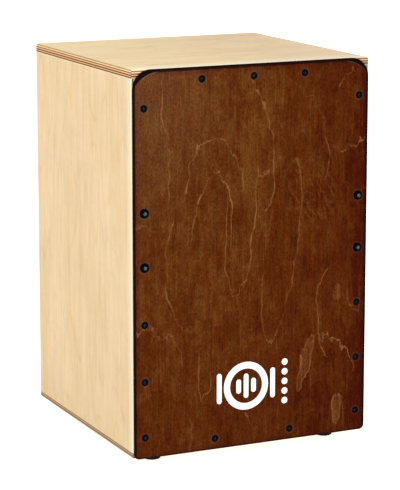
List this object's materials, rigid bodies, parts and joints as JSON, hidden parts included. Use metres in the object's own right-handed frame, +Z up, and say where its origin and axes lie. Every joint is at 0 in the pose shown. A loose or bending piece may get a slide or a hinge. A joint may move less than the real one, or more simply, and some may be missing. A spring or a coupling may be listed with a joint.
{
  "type": "cajon",
  "caption": "Plywood box drum to sit on: thin stained front plate with rounded corners, screwed round its rim, sound hole behind, internal snare wires, rubber feet.",
  "frame": {"origin": "on the floor under the rubber feet, in the middle of the whole object's width and depth (bolt heads included)", "axes": "+Z up; the front plate faces -Y; +X is to the right of someone looking at the front plate"},
  "size_m": [0.3, 0.3008, 0.457],
  "materials": {
    "birch_seat": "clear satin lacquer, birch face veneer, grain left to right",
    "birch_wall": "clear satin lacquer, birch face veneer, grain upright",
    "birch_back": "clear satin lacquer, birch face veneer, grain upright",
    "birch_base": "thin lacquer, birch face veneer",
    "batten_wood": "bare planed softwood",
    "stained_birch": "dark almond stain under satin lacquer, near-black rim",
    "black_screw": "black oxide",
    "black_bolt": "black oxide",
    "insert_brass": "turned",
    "zinc_screw": "bright zinc",
    "snare_steel": "spring steel",
    "foot_rubber": "matt black",
    "mark_white": "screen-printed ink"
  },
  "bodies": {
    "root": {"top_panel": "birch_seat", "bottom_panel": "birch_base", "left_panel": "birch_wall", "right_panel": "birch_wall", "back_panel": "birch_back", "rear_batten_left": "batten_wood", "rear_batten_right": "batten_wood", "rear_batten_top": "batten_wood", "rear_batten_bottom": "batten_wood", "front_plate": "stained_birch", "front_batten_left": "batten_wood", "front_batten_right": "batten_wood", "front_batten_top": "batten_wood", "front_batten_bottom": "batten_wood", "front_plate_screws": "black_screw", "snare_bolts": "black_bolt", "snare_block_left": "batten_wood", "snare_block_right": "batten_wood", "snare_inserts": "insert_brass", "snare_bar": "batten_wood", "snare_plate_left": "snare_steel", "snare_plate_right": "snare_steel", "snare_wires_left": "snare_steel", "snare_wires_right": "snare_steel", "snare_bar_screws": "zinc_screw", "snare_plate_screws": "zinc_screw", "front_left_foot": "foot_rubber", "front_right_foot": "foot_rubber", "rear_left_foot": "foot_rubber", "rear_right_foot": "foot_rubber", "foot_washers": "zinc_screw", "foot_screws": "zinc_screw"}
  },
  "joints": []
}
